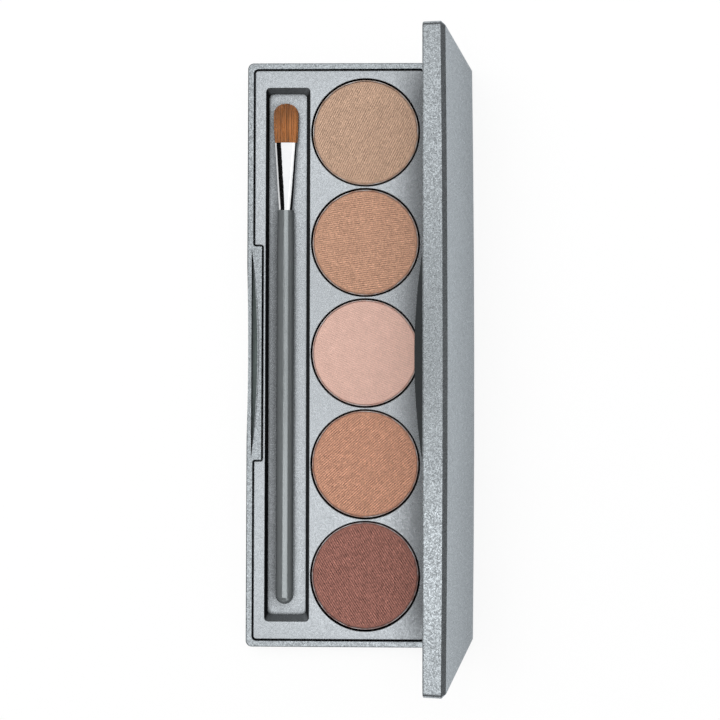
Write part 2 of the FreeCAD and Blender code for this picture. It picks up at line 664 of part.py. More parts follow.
def make_brush_handle():
    """Turned handle with a socket for the ferrule and a rounded end."""
    body = new_body("brush_handle")
    cut = new_sketch(body, "handle_section", "XY_Plane")
    end = "handle_x + handle_length"
    depth = "handle_x + ferrule_tang + tang_gap"
    nose = arc_radius("2 * handle_radius", "handle_nose")
    draw_outline(cut, (
        (depth, "0"), (end, "0", nose), (f"{end} - handle_nose", "handle_radius"),
        ("handle_x + handle_taper", "handle_radius"), ("handle_x", "handle_neck"),
        ("handle_x", "socket_radius"), (depth, "socket_radius")))
    revolve(body, cut, "H_Axis")
    place(body, y="brush_y", z="brush_z")
    return body


OVAL_POINTS = 32


def oval(x, width, flat, fullness=2):
    """An upright oval wire across the brush: an ellipse, or squarer where fullness is above 2."""
    def reach(share, size):
        return math.copysign(abs(share) ** (2 / fullness), share) * size / 2
    turns = [2 * math.pi * step / OVAL_POINTS for step in range(OVAL_POINTS)]
    spots = [FreeCAD.Vector(x, reach(math.cos(turn), width), reach(math.sin(turn), flat)) for turn in turns]
    curve = Part.BSplineCurve()
    curve.interpolate(Points=spots, PeriodicFlag=True)
    return Part.Wire(curve.toShape())


def lofted(stations):
    """A solid through ovals given as (x, width, thickness) and perhaps fullness."""
    return Part.makeLoft([oval(*station) for station in stations], True)


def brush_feature(label, shape):
    """A sub-part on the brush axis with a lofted shape."""
    feature = doc.addObject("Part::Feature", label)
    feature.Label = label
    feature.Shape = shape
    place(feature, y="brush_y", z="brush_z")
    return feature


def make_brush_ferrule():
    """Metal ferrule: round at the handle, pressed flat at the mouth, hollow for the bristles."""
    mouth, neck = number("mouth_x"), number("handle_x")
    width, flat, wall = number("ferrule_width"), number("ferrule_flat"), number("ferrule_wall")
    round_width = 2 * number("ferrule_neck")
    pinch, tang, root = number("ferrule_pinch"), number("ferrule_tang"), number("root_depth")
    pinch_share = (neck - mouth - pinch) / (neck - mouth)
    pinch_width = round_width + (width - round_width) * pinch_share
    pinch_flat = round_width + (flat - round_width) * pinch_share
    full = number("ferrule_fullness")
    pinch_full = 2 + (full - 2) * pinch_share
    cone = lofted((
        (mouth, width, flat, full),
        (mouth + pinch, pinch_width, pinch_flat, pinch_full),
        (neck, round_width, round_width)))
    stem = lofted(((neck, round_width, round_width), (neck + tang, round_width, round_width)))
    hollow = lofted((
        (mouth, width - 2 * wall, flat - 2 * wall, full),
        (mouth + root, pinch_width - 2 * wall, pinch_flat - 2 * wall, pinch_full)))
    return brush_feature("brush_ferrule", cone.fuse(stem).removeSplitter().cut(hollow))


def make_brush_bristles():
    """Plain solid of the flat, round-tipped tuft, with its root in the ferrule."""
    mouth, length, root = number("mouth_x"), number("tuft_length"), number("root_depth")
    gap = 2 * (number("ferrule_wall") + number("root_gap"))
    width, flat = number("tuft_width"), number("tuft_flat")
    root_width, root_flat = number("ferrule_width") - gap, number("ferrule_flat") - gap
    narrowing = (root_width - 2 * number("ferrule_neck")) * root / number("ferrule_length")
    deep_width = root_width - narrowing - gap
    deep_flat = deep_width * root_flat / root_width
    stem = lofted(((mouth, root_width, root_flat), (mouth + root - gap, deep_width, deep_flat)))
    stations = [(mouth, root_width, root_flat)]
    stations += [(mouth - along * length, across * width, thick * flat) for along, across, thick in TUFT]
    return brush_feature("brush_bristles", lofted(stations).fuse(stem).removeSplitter())


pieces = [make_base_shell(), make_front_catch(), make_insert_tray()]
pieces += [make_pan(pan) for pan in PANS]
pieces += [make_powder(pan) for pan in PANS]
pieces.append(make_pan_adhesive())
pieces += [make_hinge_pin(name, side) for name, side in SIDES]
pieces += [make_lid_shell(), make_mirror_frame()]
pieces.append(make_mirror_sheet("mirror", "mirror_z", "mirror_z + mirror_thick"))
pieces.append(make_mirror_sheet("mirror_adhesive", "mirror_z + mirror_thick", "plate_z"))
pieces += [make_brush_handle(), make_brush_ferrule(), make_brush_bristles()]
doc.recompute()

for item in doc.Objects:
    if {"Invalid", "Error"} & set(item.State):
        raise RuntimeError(f"{item.Label} failed: {item.State}")
for piece in pieces:
    if piece.Shape.isNull() or not piece.Shape.isValid():
        raise RuntimeError(f"{piece.Label} has no valid shape")

os.makedirs("parts", exist_ok=True)
for piece in pieces:
    piece.Shape.exportStep(f"parts/{piece.Label}.step")
    print(f"{piece.Label}: {len(piece.Shape.Solids)} solid(s), {piece.Shape.Volume:.1f} mm3")
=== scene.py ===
"""Looks of a slim eyeshadow palette, built round its CAD frame and laid out as an add-on."""

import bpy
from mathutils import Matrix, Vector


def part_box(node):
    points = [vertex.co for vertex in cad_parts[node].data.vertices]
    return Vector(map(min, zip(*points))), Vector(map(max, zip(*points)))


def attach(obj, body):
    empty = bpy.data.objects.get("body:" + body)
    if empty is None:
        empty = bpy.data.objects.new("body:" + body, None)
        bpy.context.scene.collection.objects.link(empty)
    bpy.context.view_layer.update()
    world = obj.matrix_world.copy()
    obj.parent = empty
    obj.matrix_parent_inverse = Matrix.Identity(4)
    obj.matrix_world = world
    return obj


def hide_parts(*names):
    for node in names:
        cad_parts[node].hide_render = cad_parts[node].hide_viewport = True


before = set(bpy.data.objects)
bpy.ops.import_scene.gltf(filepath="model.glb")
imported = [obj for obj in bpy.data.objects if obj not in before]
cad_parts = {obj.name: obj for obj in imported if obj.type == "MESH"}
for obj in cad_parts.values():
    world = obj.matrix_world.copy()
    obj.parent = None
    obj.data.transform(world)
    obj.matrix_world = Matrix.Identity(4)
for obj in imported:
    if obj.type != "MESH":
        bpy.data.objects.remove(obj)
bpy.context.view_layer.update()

import math
import random

import bpy
from bpy.props import FloatProperty, FloatVectorProperty, IntProperty, PointerProperty
from mathutils import Vector

bl_info = {
    "name": "Eyeshadow palette",
    "version": (1, 0, 0),
    "blender": (4, 5, 0),
    "location": "View3D > Sidebar > Palette",
    "description": "Finishes the palette's case and models its powders and brush",
    "category": "Object",
}

MM = 0.001
PANS = (1, 2, 3, 4, 5)
# Limits between which nearly all values of a noise lie, and closer ones that turn a noise into patches.
NOISE = (0.3, 0.7)
PATCHES = (0.35, 0.65)


# ---- Sizes and colours that a user may change ----

def colour_property(name, description, default):
    """A colour that a user may change."""
    return FloatVectorProperty(
        name=name, description=description, default=default, subtype="COLOR", min=0, max=1, size=3)


def length_property(name, description, default):
    """A length that a user may change."""
    return FloatProperty(
        name=name, description=description, default=default, unit="LENGTH", subtype="DISTANCE",
        min=0, precision=5)


def share_property(name, description, default):
    """A share from 0 to 1 that a user may change."""
    return FloatProperty(
        name=name, description=description, default=default, subtype="FACTOR", min=0, max=1)


class CaseLooks(bpy.types.PropertyGroup):
    """Finishes of case, tray and fittings."""
    case_silver: colour_property("Case", "Silver paint of base and lid", (0.374, 0.405, 0.426))
    tray_silver: colour_property("Tray", "Silver paint of the tray", (0.44, 0.468, 0.492))
    flake: length_property("Flake", "Size of the flakes in the silver paint", 0.24 * MM)
    clasp_dark: colour_property("Clasp", "Dark plastic of the clasp", (0.095, 0.118, 0.115))
    frame_dark: colour_property("Frame", "Dark plastic of the mirror frame", (0.011, 0.014, 0.0155))
    pan_metal: colour_property("Pan", "Drawn metal of the pans", (0.52, 0.53, 0.54))


class PowderLooks(bpy.types.PropertyGroup):
    """Shades and pressed pattern of the powders."""
    shade_1: colour_property("Shade 1", "Sand powder", (0.47, 0.31, 0.22))
    shade_2: colour_property("Shade 2", "Tan powder", (0.485, 0.275, 0.185))
    shade_3: colour_property("Shade 3", "Rose powder", (0.665, 0.435, 0.365))
    shade_4: colour_property("Shade 4", "Terracotta powder", (0.495, 0.255, 0.17))
    shade_5: colour_property("Shade 5", "Plum powder", (0.275, 0.12, 0.095))
    rib_pitch: length_property("Rib pitch", "Distance between two pressed ribs", 0.51 * MM)
    rib_depth: length_property("Rib depth", "Height of the pressed ribs", 0.08 * MM)


class BrushLooks(bpy.types.PropertyGroup):
    """Finishes of the brush and make-up of its tuft."""
    handle_grey: colour_property("Handle", "Satin lacquer of the handle", (0.29, 0.314, 0.323))
    bristle_brown: colour_property("Bristles", "Middle tone of the bristles", (0.385, 0.14, 0.034))
    strands: IntProperty(name="Strands", description="Bristles in the tuft", default=1500, min=100, max=3000)
    strand_width: length_property("Strand", "Thickness of one bristle", 0.11 * MM)


class StageLooks(bpy.types.PropertyGroup):
    """Camera, floor and studio light."""
    lens: FloatProperty(name="Lens", description="Focal length", default=66.06, unit="CAMERA", min=10)
    camera_place: FloatVectorProperty(
        name="Camera", description="Place of the camera", default=(-0.00544, 0.008133, 0.332309),
        subtype="TRANSLATION", unit="LENGTH", precision=5)
    camera_turn: FloatVectorProperty(
        name="Turn", description="Turn of the camera", subtype="EULER", unit="ROTATION",
        default=tuple(math.radians(angle) for angle in (1.9754, 1.2136, 90.0916)))
    camera_rise: FloatProperty(
        name="Rise", description="Lens shift that the framing needs", default=-0.1038)
    floor_white: share_property("Floor", "Brightness of the pale floor", 0.92)
    softbox: FloatProperty(
        name="Softbox", description="Power of the light overhead", default=5.8, unit="POWER", min=0)
    room: share_property("Room", "Brightness of the light from all round", 0.45)


# ---- Materials ----

class Finish:
    """A material under construction: its nodes and the shader that they feed."""

    def __init__(self, name, **plain):
        self.material = bpy.data.materials.new(name)
        self.material.use_nodes = True
        self.tree = self.material.node_tree
        self.shader = self.tree.nodes["Principled BSDF"]
        for socket, value in plain.items():
            self.feed(self.shader.inputs[socket.replace("_", " ")], value)
        self.place = self.add("TexCoord").outputs["Object"]

    def feed(self, socket, value):
        """Link a socket to another one, or set its value."""
        if isinstance(value, bpy.types.NodeSocket):
            self.tree.links.new(value, socket)
        else:
            socket.default_value = value

    def add(self, kind, inputs=None, **settings):
        """A new node with its settings, and its inputs linked or set."""
        node = self.tree.nodes.new(f"ShaderNode{kind}")
        for name, value in settings.items():
            setattr(node, name, value)
        for socket, value in (inputs or {}).items():
            self.feed(node.inputs[socket], value)
        return node

    def noise(self, scale, detail=2.0, rough=0.5, place=None):
        """Soft noise from 0 to 1."""
        return self.add("TexNoise", {
            "Vector": place or self.place, "Scale": scale, "Detail": detail,
            "Roughness": rough}).outputs["Fac"]

    def streaks(self, scales, detail=2.0, rough=0.5):
        """Noise drawn out by a scale of its own along each axis."""
        drawn_out = self.add("Mapping", {"Vector": self.place, "Scale": scales}).outputs["Vector"]
        return self.noise(1, detail, rough, drawn_out)

    def flakes(self, size):
        """One random value from 0 to 1 for each flake."""
        cells = self.add("TexVoronoi", {"Vector": self.place, "Scale": 1 / size}).outputs["Color"]
        return self.add("SeparateColor", {"Color": cells}).outputs["Red"]

    def axis(self, place, name):
        """One part of a vector: X, Y or Z."""
        return self.add("SeparateXYZ", {"Vector": place}).outputs[name]

    def span(self, value, low, high, from_low=0.0, from_high=1.0):
        """A value stretched from one range to another."""
        return self.add("MapRange", {
            "Value": value, "From Min": from_low, "From Max": from_high,
            "To Min": low, "To Max": high}).outputs["Result"]

    def swing(self, value, amount, from_low=0.0, from_high=1.0):
        """A value turned into a factor that swings by an amount either side of 1."""
        return self.span(value, 1 - amount, 1 + amount, from_low, from_high)

    def worked(self, operation, first, second=0.0):
        """Two values worked together."""
        return self.add("Math", {0: first, 1: second}, operation=operation).outputs[0]

    def times(self, value, *factors):
        """A value multiplied by each factor in turn."""
        for factor in factors:
            value = self.worked("MULTIPLY", value, factor)
        return value

    def mixed(self, share, first, second, blend="MIX"):
        """Two colours mixed."""
        node = self.add("Mix", {0: share, 6: first, 7: second}, data_type="RGBA", blend_type=blend)
        return node.outputs[2]

    def tinted(self, colour, value):
        """A colour made brighter or darker by a value."""
        return self.add("HueSaturation", {"Color": (*colour, 1), "Value": value}).outputs["Color"]

    def ramp(self, value, stops):
        """Colours along a value."""
        node = self.add("ValToRGB", {"Fac": value})
        elements = node.color_ramp.elements
        while len(elements) < len(stops):
            elements.new(1)
        for element, (place, colour) in zip(elements, stops):
            element.position = place
            element.color = (*colour, 1)
        return node.outputs["Color"]

    def clouded(self, noise, first, second):
        """Two colours that a noise blends."""
        return self.ramp(noise, tuple(zip(NOISE, (first, second))))

    def colour(self, value):
        """Feed the base colour."""
        self.feed(self.shader.inputs["Base Color"], value)

    def rough(self, value):
        """Feed the roughness."""
        self.feed(self.shader.inputs["Roughness"], value)

    def bump(self, height, depth, strength=1.0):
        """Feed a relief of a given depth in metres."""
        node = self.add("Bump", {"Height": height, "Distance": depth, "Strength": strength})
        self.feed(self.shader.inputs["Normal"], node.outputs["Normal"])


def dress(material, *names):
    """Give a material to CAD nodes."""
    for name in names:
        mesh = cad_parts[name].data
        mesh.materials.clear()
        mesh.materials.append(material)


# How far the silver paint looks round itself for crevices, in which it gets painted shade.
CREVICE_SHADE_REACH = 1.2 * MM
CREVICE_SHADE_SAMPLES = 12
# Change of roughness from the dullest flakes to the glossiest, either side of the mean.
FLAKE_GLOSS = 0.08


def silver_paint(name, flake, contrast, roughness, painted_crevice_shade):
    """Fine metallic paint of satin gloss, with its tone and painted shade: flakes that differ, and painted
    shade that darkens it in crevices.

    painted_crevice_shade holds the open shares at which the painted shade makes the paint black and at which
    it leaves it untouched.
    """
    paint = Finish(name, Metallic=0.88, Specular_IOR_Level=0.0)
    flakes = paint.flakes(flake)
    fine = paint.flakes(flake * 0.5)
    cloud = paint.noise(scale=45, detail=3)
    # Painted shade: the paint is darkened where ambient occlusion finds it shut in, in crevices and gaps.
    openness = paint.add(
        "AmbientOcclusion", {"Distance": CREVICE_SHADE_REACH}, samples=CREVICE_SHADE_SAMPLES).outputs["AO"]
    tone_and_shade = paint.times(
        paint.swing(flakes, contrast), paint.swing(fine, contrast), paint.swing(cloud, 0.04, *NOISE),
        paint.span(openness, 0.0, 1.0, *painted_crevice_shade))
    paint.rough(paint.span(flakes, roughness + FLAKE_GLOSS, roughness - FLAKE_GLOSS))
    paint.bump(paint.noise(1 / flake, detail=1), depth=0.01 * MM, strength=0.1)
    return paint, tone_and_shade


# Upward part of the normal at which the tray's painted wall shade is deepest, and at which the paint counts
# as level and is left unshaded.
STEEP_TO_LEVEL = (0.27, 0.9)
# How much of that painted wall shade an end wall is spared, against a long wall.
END_WALL_LIFT = 0.35
# Brightness that the painted shade leaves on the steepest walls.
STEEP_SHADE_BRIGHT = 0.06
LEVEL_METAL = 0.75
# Heights of trough and tray top, and how far each looks toward the hinge for taller pieces, whose painted
# shadow falls on the tray.
SHADE_HEIGHTS = (5 * MM, 8 * MM)
SHADE_REACH = (3.2 * MM, 14 * MM)
SHADE_SAMPLES = 6
TOWARD_HINGE = {"Y": 0.8, "Z": 0.6}
# Hidden share at which that painted shadow is deepest, and the brightness left there.
FULL_SHADE = 0.8
SHADE_BRIGHT = 0.06


def shade_tray(paint, colour, tone_and_shade):
    """Paint shade into a tray's paint: painted shade on its steep walls, and painted shadow beside taller
    pieces on the hinge side.
    """
    normal = paint.add("TexCoord").outputs["Normal"]
    # Painted shade: steep walls are painted darker and less metallic, end walls a little less so.
    end_wall = paint.worked("ABSOLUTE", paint.axis(normal, "X"))
    rise = paint.worked("ADD", paint.axis(normal, "Z"), paint.times(end_wall, END_WALL_LIFT))
    level = paint.span(rise, 0.0, 1.0, *STEEP_TO_LEVEL)
    # Painted shadow: the paint is darkened where lid or brush stands close on the hinge side.
    reach = paint.span(paint.axis(paint.place, "Z"), *SHADE_REACH, *SHADE_HEIGHTS)
    toward_hinge = paint.add("CombineXYZ", TOWARD_HINGE).outputs[0]
    open_to_self, open_to_all = (
        paint.add("AmbientOcclusion", {"Distance": reach, "Normal": toward_hinge},
                  samples=SHADE_SAMPLES, only_local=own).outputs["AO"]
        for own in (True, False))
    painted_shadow = paint.worked("SUBTRACT", open_to_self, open_to_all)
    tone_and_shade = paint.times(
        tone_and_shade, paint.span(level, STEEP_SHADE_BRIGHT, 1.0), paint.span(painted_shadow, 1.0, SHADE_BRIGHT, 0.0, FULL_SHADE))
    paint.colour(paint.tinted(colour, tone_and_shade))
    paint.feed(paint.shader.inputs["Metallic"], paint.span(level, 0.0, LEVEL_METAL))


def moulded_plastic(name, colour, roughness):
    """Dark plastic with a fine moulded grain."""
    plastic = Finish(name, Specular_IOR_Level=0.3)
    grain = plastic.noise(scale=9000)
    cloud = plastic.noise(scale=150, detail=3)
    plastic.colour(plastic.tinted(colour, plastic.swing(cloud, 0.15, *NOISE)))
    plastic.rough(plastic.span(grain, roughness - 0.06, roughness + 0.06, *NOISE))
    plastic.bump(grain, depth=0.008 * MM, strength=0.5)
    return plastic.material


def drawn_lines(metal, colour, scales):
    """Fine lines of drawing in a metal: their noise, and the metal's colour with them in it."""
    lines = metal.streaks(scales)
    metal.bump(lines, depth=0.004 * MM, strength=0.4)
    return lines, metal.tinted(colour, metal.swing(lines, 0.1, *NOISE))


def drawn_metal(name, colour, roughness, scales):
    """Bare metal with fine drawing lines."""
    metal = Finish(name, Metallic=1.0)
    lines, lined = drawn_lines(metal, colour, scales)
    metal.colour(lined)
    metal.rough(metal.span(lines, roughness - 0.05, roughness + 0.07, *NOISE))
    return metal.material


def dusty_metal(name, colour, dust):
    """Drawn metal with loose powder on it, in patches."""
    metal = Finish(name, Metallic=0.45)
    lined = drawn_lines(metal, colour, (2500, 2500, 9000))[1]
    dusty = metal.span(metal.noise(scale=420, detail=3, rough=0.6), 0.15, 0.95, *PATCHES)
    metal.colour(metal.mixed(dusty, lined, (*dust, 1)))
    metal.rough(metal.span(dusty, 0.3, 0.8))
    return metal.material


def mirror_glass(name):
    """Silvered glass with a trace of haze."""
    glass = Finish(name, Metallic=1.0, Specular_IOR_Level=0.8)
    haze = glass.noise(scale=60, detail=4, rough=0.6)
    glass.colour(glass.clouded(haze, (0.86, 0.88, 0.88), (0.91, 0.92, 0.92)))
    glass.rough(glass.span(haze, 0.01, 0.05, 0.45, 0.8))
    return glass.material


def milky_glue(name):
    """Milky dried glue."""
    glue = Finish(name, Subsurface_Weight=0.3, Subsurface_Radius=(1.0 * MM, 0.9 * MM, 0.7 * MM))
    cloud = glue.noise(scale=700, detail=3)
    glue.colour(glue.clouded(cloud, (0.62, 0.58, 0.47), (0.74, 0.71, 0.62)))
    glue.rough(glue.span(cloud, 0.3, 0.5, *NOISE))
    glue.bump(cloud, depth=0.02 * MM, strength=0.5)
    return glue.material


# ---- Case, tray and fittings ----

class PALETTE_OT_case(bpy.types.Operator):
    """Paint base, lid and tray in flaked silver, with painted shade in crevices, on the tray's steep walls
    and beside taller pieces
    """
    bl_idname = "palette.case"
    bl_label = "Case and tray"

    def execute(self, context):
        looks = context.scene.palette_case
        case, tone_and_shade = silver_paint(
            "case_silver", looks.flake, contrast=0.27, roughness=0.3, painted_crevice_shade=(0.4, 0.9))
        case.colour(case.tinted(looks.case_silver, tone_and_shade))
        tray, tone_and_shade = silver_paint(
            "tray_silver", looks.flake, contrast=0.1, roughness=0.28, painted_crevice_shade=(0.3, 0.75))
        shade_tray(tray, looks.tray_silver, tone_and_shade)
        dress(case.material, "base_shell", "lid_shell")
        dress(tray.material, "insert_tray")
        return {"FINISHED"}


class PALETTE_OT_fittings(bpy.types.Operator):
    """Finish clasp, mirror, hinge pins, glue and pans"""
    bl_idname = "palette.fittings"
    bl_label = "Fittings and pans"

    def execute(self, context):
        looks = context.scene.palette_case
        dress(moulded_plastic("clasp_dark", looks.clasp_dark, roughness=0.4), "front_catch")
        dress(moulded_plastic("frame_dark", looks.frame_dark, roughness=0.3), "mirror_frame")
        dress(mirror_glass("mirror_glass"), "mirror")
        dress(milky_glue("glue"), "pan_adhesive", "mirror_adhesive")
        steel = drawn_metal("hinge_steel", (0.56, 0.57, 0.58), roughness=0.3, scales=(400, 9000, 9000))
        dress(steel, "hinge_pin_left", "hinge_pin_right")
        for pan in PANS:
            dust = getattr(context.scene.palette_powder, f"shade_{pan}")
            dress(dusty_metal(f"pan_metal_{pan}", looks.pan_metal, dust), f"pan_{pan}")
        return {"FINISHED"}


# ---- Powders ----

def select_only(piece):
    """Make one object the only selected and the active one."""
    bpy.ops.object.select_all(action="DESELECT")
    piece.select_set(True)
    bpy.context.view_layer.objects.active = piece


def select_where(piece, test):
    """In edit mode, select the vertices whose place passes a test."""
    bpy.ops.mesh.select_mode(type="VERT")
    bpy.ops.mesh.select_all(action="DESELECT")
    bpy.ops.object.mode_set(mode="OBJECT")
    for vertex in piece.data.vertices:
        vertex.select = test(vertex.co)
    bpy.ops.object.mode_set(mode="EDIT")


def apply_modifiers(piece):
    """Apply every modifier of a piece, in order."""
    select_only(piece)
    for modifier in list(piece.modifiers):
        bpy.ops.object.modifier_apply(modifier=modifier.name)


def settle(piece):
    """Put the place of a piece into its mesh, so that its object sits at the origin."""
    select_only(piece)
    bpy.ops.object.transform_apply(location=True, rotation=True, scale=True)


# Direction across the pressed ribs of each powder, in degrees from X.
RIBS = {1: 64, 2: 8, 3: 156, 4: 42, 5: 122}
# Painted shade of each powder: how much lighter its ribs and darker its furrows are painted; a third of it
# also sets the speckle.
RIB_SHADE_AND_SPECK_CONTRAST = {1: 0.58, 2: 0.62, 3: 0.2, 4: 0.7, 5: 0.9}
RIM_SIDES = 256
CAKE_CUTS = 3
CROWN = 0.3 * MM
# Radius of the spot at the middle that is lifted, and width of the ring at the edge that is lowered.
CROWN_SPOT = 0.1 * MM
EDGE_RING = 0.01 * MM
EDGE_ROUND = 0.4 * MM
EDGE_DROP = 0.16 * MM
# Widths of the rim that isn't pressed, and of the ring in which the pattern rises to its full depth.
PLAIN_RIM = 0.3 * MM
SMOOTH_RIM = 0.8 * MM
RIM_STEPS = 8
# Blender's bands follow x + y, so a guide turns them by 45 degrees and stretches them by the root of 2.
BANDS_PER_UNIT = 10 / (2 * math.pi)
BAND_TURN = 45
UNEVEN_SCALE = 0.5
# Height of the unevenness, as a share of the ribs'.
UNEVEN_SHARE = 0.6
SMOOTH_ANGLE = math.radians(50)
# Relief of furrows and ribs, as shares of the rib depth.
RELIEF = (-0.6, 0.6)


def lift(amount, falloff, size):
    """Move the selection up, and what is near it by a falloff."""
    bpy.ops.transform.translate(
        value=(0, 0, amount), use_proportional_edit=True, proportional_edit_falloff=falloff,
        proportional_size=size)


def off_axis(spot, middle):
    """Distance of a spot from a cake's axis."""
    return math.hypot(spot.x - middle.x, spot.y - middle.y)


def plain_cake(name, middle, radius, top, foot):
    """A cake before the press: a filled disc, crowned, rounded at its edge and drawn down to its foot."""
    bpy.ops.object.select_all(action="DESELECT")
    bpy.ops.mesh.primitive_circle_add(vertices=RIM_SIDES, radius=radius, location=(middle.x, middle.y, top))
    cake = bpy.context.object
    cake.name = cake.data.name = name
    settle(cake)
    bpy.ops.object.mode_set(mode="EDIT")
    bpy.ops.mesh.select_all(action="SELECT")
    bpy.ops.mesh.fill_grid(span=RIM_SIDES // 4)
    bpy.ops.mesh.select_all(action="SELECT")
    bpy.ops.mesh.subdivide(number_cuts=CAKE_CUTS)
    select_where(cake, lambda spot: off_axis(spot, middle) < CROWN_SPOT)
    lift(CROWN, "SPHERE", radius)
    select_where(cake, lambda spot: off_axis(spot, middle) > radius - EDGE_RING)
    lift(-EDGE_DROP, "SHARP", EDGE_ROUND)
    bpy.ops.mesh.select_all(action="SELECT")
    bpy.ops.mesh.region_to_loop()
    bpy.ops.mesh.extrude_edges_move(TRANSFORM_OT_translate={"value": (0, 0, foot - top + EDGE_DROP)})
    bpy.ops.mesh.edge_face_add()
    bpy.ops.mesh.select_all(action="SELECT")
    bpy.ops.mesh.normals_make_consistent(inside=False)
    bpy.ops.object.mode_set(mode="OBJECT")
    return cake


def pressed_area(cake, middle, radius):
    """Group the vertices of a cake by how deep a pattern goes there: not at all at its rim."""
    group = cake.vertex_groups.new(name="pressed")
    rings = {}
    for vertex in cake.data.vertices:
        share = min(1, max(0, (radius - PLAIN_RIM - off_axis(vertex.co, middle)) / SMOOTH_RIM))
        rings.setdefault(round(share * RIM_STEPS) / RIM_STEPS, []).append(vertex.index)
    for share, members in rings.items():
        group.add(members, share, "REPLACE")
    return group


def rib_guide(angle, pitch, place):
    """An empty whose turn and scale lay the bands across a powder."""
    bpy.ops.object.empty_add(location=place, rotation=(0, 0, math.radians(angle - BAND_TURN)))
    guide = bpy.context.object
    guide.scale = (pitch * BANDS_PER_UNIT * math.sqrt(2),) * 3
    return guide


def press(cake, guide, texture, group, depth):
    """Press one pattern into the top of a cake."""
    modifier = cake.modifiers.new(texture.name, "DISPLACE")
    modifier.texture = texture
    modifier.texture_coords = "OBJECT"
    modifier.texture_coords_object = guide
    modifier.direction = "Z"
    modifier.strength = depth
    modifier.vertex_group = group.name
    apply_modifiers(cake)


def powder_cake(pan, pitch, depth):
    """One cake with its ribs and some unevenness pressed in; its material reads the relief from it."""
    low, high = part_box(f"powder_{pan}")
    middle = (low + high) / 2
    radius = (high.x - low.x) / 2
    top = high.z - CROWN - depth
    cake = plain_cake(f"powder_cake_{pan}", middle, radius, top, low.z)
    group = pressed_area(cake, middle, radius)
    flat = [vertex.co.z for vertex in cake.data.vertices]
    ribs = bpy.data.textures.new("ribs", "WOOD")
    ribs.wood_type = "BANDS"
    ribs.noise_basis_2 = "SIN"
    guide = rib_guide(RIBS[pan], pitch, (middle.x, middle.y, top))
    press(cake, guide, ribs, group, depth)
    uneven = bpy.data.textures.new("uneven", "CLOUDS")
    uneven.noise_scale = UNEVEN_SCALE
    press(cake, guide, uneven, group, depth * UNEVEN_SHARE)
    bpy.data.objects.remove(guide)
    relief = cake.data.attributes.new("relief", "FLOAT", "POINT")
    relief.data.foreach_set(
        "value", [(vertex.co.z - before) / depth for vertex, before in zip(cake.data.vertices, flat)])
    select_only(cake)
    bpy.ops.object.shade_smooth_by_angle(angle=SMOOTH_ANGLE)
    return cake


def pressed_powder(pan, colour):
    """Matt powder: speckled, with painted shade in patches: lighter on the ribs and darker between them."""
    powder = Finish(
        f"powder_shade_{pan}", Sheen_Weight=0.25, Sheen_Roughness=0.5, Specular_IOR_Level=0.25)
    contrast = RIB_SHADE_AND_SPECK_CONTRAST[pan]
    relief = powder.add("Attribute", attribute_name="relief").outputs["Fac"]
    speck = powder.flakes(0.26 * MM)
    fine = powder.flakes(0.12 * MM)
    cloud = powder.noise(scale=260, detail=4, rough=0.6)
    patch = powder.span(powder.noise(scale=650, rough=0.6), 0.3, 1.0, *PATCHES)
    # Painted shade: the ribs are painted lighter and the furrows darker, from the relief that the cake
    # holds.
    ribs = powder.times(powder.span(relief, -contrast, contrast, *RELIEF), patch)
    tone_and_shade = powder.times(
        powder.worked("ADD", ribs, 1.0), powder.swing(speck, contrast / 3), powder.swing(fine, contrast / 3),
        powder.swing(cloud, 0.05, *NOISE))
    powder.colour(powder.tinted(colour, tone_and_shade))
    powder.rough(powder.span(speck, 0.75, 0.95))
    powder.bump(powder.noise(scale=12000, detail=3), depth=0.01 * MM, strength=0.6)
    return powder.material


class PALETTE_OT_powders(bpy.types.Operator):
    """Model the five pressed powders"""
    bl_idname = "palette.powders"
    bl_label = "Powders"

    def execute(self, context):
        looks = context.scene.palette_powder
        for pan in PANS:
            cake = powder_cake(pan, looks.rib_pitch, looks.rib_depth)
            cake.data.materials.append(pressed_powder(pan, getattr(looks, f"shade_{pan}")))
            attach(cake, "base")
            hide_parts(f"powder_{pan}")
        return {"FINISHED"}


# ---- Brush ----

# Half width and half thickness of the tuft at places along it, as shares of its box, from ferrule to tip.
TUFT_OUTLINE = ((0, 0.74, 0.5), (0.05, 0.86, 0.62), (0.35, 0.92, 0.9), (0.7, 0.94, 0.85), (1, 0.92, 0.55))
TUFT_SEED = 7
# Thickness of a strand at each of its points, from root to tip, as a share of its full one.
STRAND_TAPER = (1, 1, 1, 1, 0.85, 0.3)
STRAND_ROOT = 1.0 * MM
# Every third strand lies in the tuft's skin, which starts at this share of its half width.
SKIN_EVERY = 3
SKIN_START = 0.9
# Room between tip and box, and shortening at the tuft's sides.
TIP_ROOM = 0.1 * MM
TIP_ROUND = 2.5 * MM
# Most that chance shortens a strand by, and moves its tip sideways, as a share of the half width.
TIP_RAGGED_MM = 0.35
DRIFT = 0.02
# Tones along the tuft, from ferrule to tip.
HAIR_TONES = ((0, 0.9), (0.35, 1.05), (0.75, 0.72), (1, 0.95))


def outline_at(share):
    """Half width and half thickness of the tuft at a share of its length."""
    for (start, *first), (end, *second) in zip(TUFT_OUTLINE, TUFT_OUTLINE[1:]):
        if share <= end:
            along = max(0, (share - start) / (end - start))
            return [a + (b - a) * along for a, b in zip(first, second)]
    return TUFT_OUTLINE[-1][1:]


